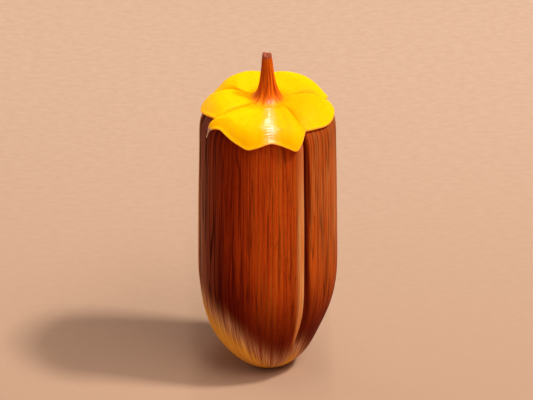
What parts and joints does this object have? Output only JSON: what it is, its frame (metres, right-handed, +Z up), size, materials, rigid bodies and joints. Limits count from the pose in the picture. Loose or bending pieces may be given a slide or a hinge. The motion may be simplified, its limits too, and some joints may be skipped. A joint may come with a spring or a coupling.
{
  "type": "brazil nut with petal cap and stalk",
  "caption": "Tall woody nut with seams down its shell, standing on its golden tip, with a cap of yellow petals and a ribbed brown stalk on its crown.",
  "frame": {"origin": "centre of the small flat spot at the tip that the nut stands on", "axes": "+Z up along the nut towards its stalk, -Y towards the front, where the widest petal hangs, +X to the right"},
  "size_m": [0.023, 0.0229, 0.0571],
  "materials": {
    "shell": "polished, streaked mahogany brown with a golden tip",
    "petal": "waxy yellow, orange in the creases",
    "stalk": "satin, ribbed orange brown"
  },
  "bodies": {
    "root": {"nut_shell": "shell", "petal_front": "petal", "petal_right": "petal", "petal_back_right": "petal", "petal_back_left": "petal", "petal_left": "petal", "stalk": "stalk"}
  },
  "joints": []
}
